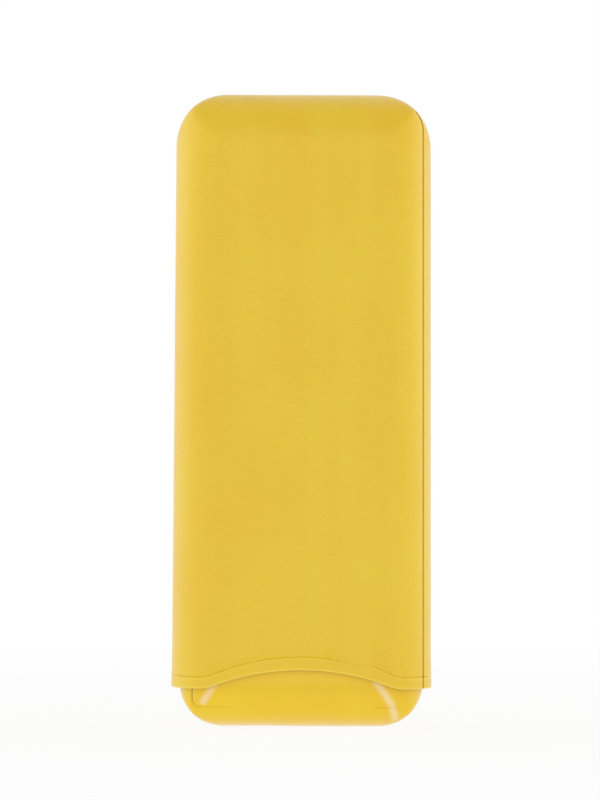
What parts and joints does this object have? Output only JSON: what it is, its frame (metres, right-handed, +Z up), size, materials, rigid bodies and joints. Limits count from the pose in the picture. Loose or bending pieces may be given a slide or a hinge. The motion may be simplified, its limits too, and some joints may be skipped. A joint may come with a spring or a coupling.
{
  "type": "cigar case",
  "caption": "Telescoping case of moulded leather: a cap with rounded edges and an arched mouth slides down over a matching base that holds the cigars.",
  "frame": {"origin": "centre of the case's footprint at the level of the base's closed end, on which it stands", "axes": "+Z up from the base to the cap and along the slide, +X to the right seen from the front, front faces -Y"},
  "size_m": [0.07, 0.029, 0.17],
  "materials": {
    "yellow_leather": "smooth moulded calf, polished, with darker burnished edges",
    "stiff_board": "plain compressed paper board, hidden between leather and lining",
    "lining_leather": "thin undyed skin, matt"
  },
  "bodies": {
    "base": {"base_wrap_leather": "yellow_leather", "base_face_leather": "yellow_leather", "base_front_board": "stiff_board", "base_back_board": "stiff_board", "base_end_board": "stiff_board", "base_front_lining": "lining_leather", "base_back_lining": "lining_leather"},
    "cap": {"cap_wrap_leather": "yellow_leather", "cap_face_leather": "yellow_leather", "cap_front_board": "stiff_board", "cap_back_board": "stiff_board", "cap_end_board": "stiff_board", "cap_front_lining": "lining_leather", "cap_back_lining": "lining_leather"}
  },
  "joints": [
    {"name": "cap_slide", "type": "slide", "parent": "base", "child": "cap", "axis": [0, 0, 1], "range_m": [0, 0.16]}
  ]
}
